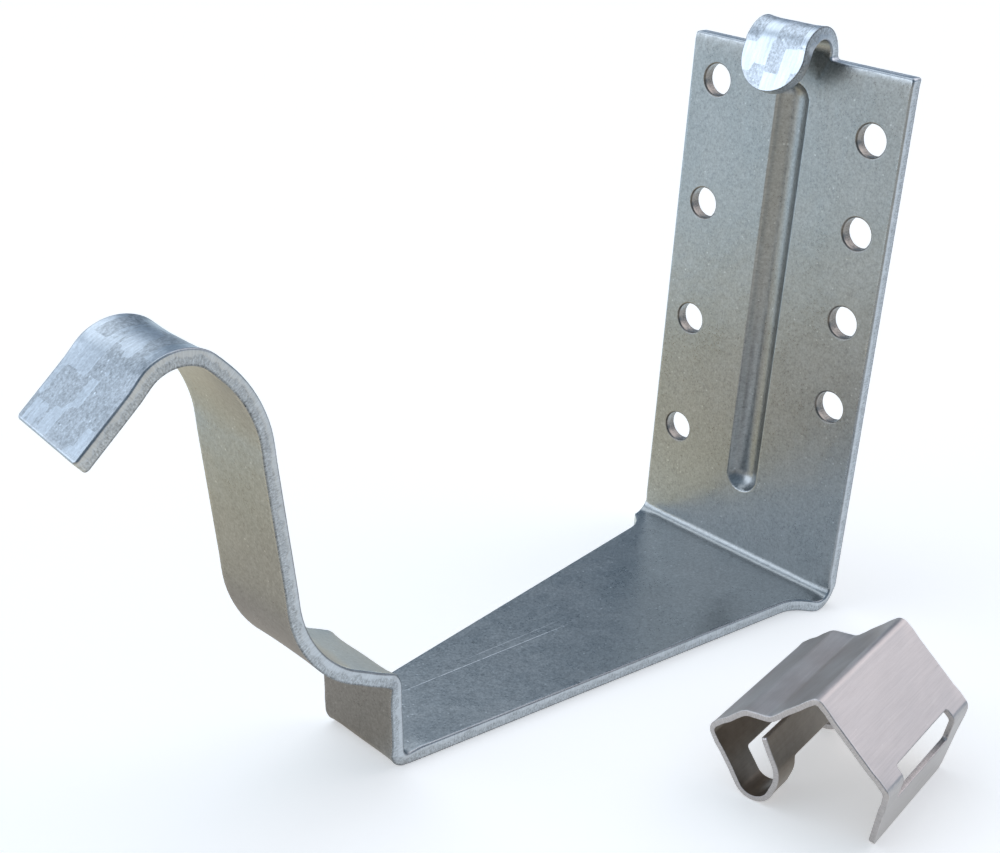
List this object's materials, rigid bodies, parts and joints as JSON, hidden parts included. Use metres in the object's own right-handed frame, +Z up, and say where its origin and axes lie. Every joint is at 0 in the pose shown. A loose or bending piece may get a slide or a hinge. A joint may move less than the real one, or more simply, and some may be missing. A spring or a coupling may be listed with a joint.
{
  "type": "roof gutter bracket",
  "caption": "Bent steel gutter bracket with a drilled and grooved back plate, tapered base, curled front strip and a separate locking clip.",
  "frame": {"origin": "centre of the base's underside, midway between the plate's back face and the upstand's front face", "axes": "+Z up; +Y towards the fascia board, out of the plate's back; -Y towards the gutter's front; +X to the right seen from the front"},
  "size_m": [0.1218, 0.197, 0.1387],
  "materials": {
    "galvanised_steel": "hot-dip galvanised, satin with worn bends",
    "stainless_sheet": "satin rolled sheet"
  },
  "bodies": {
    "bracket": {"bracket": "galvanised_steel"},
    "clip": {"clip": "stainless_sheet"}
  },
  "joints": [
    {"name": "clip_lift", "type": "slide", "parent": "bracket", "child": "clip", "axis": [0, 0, 1], "range_m": [0, 0.06]}
  ]
}
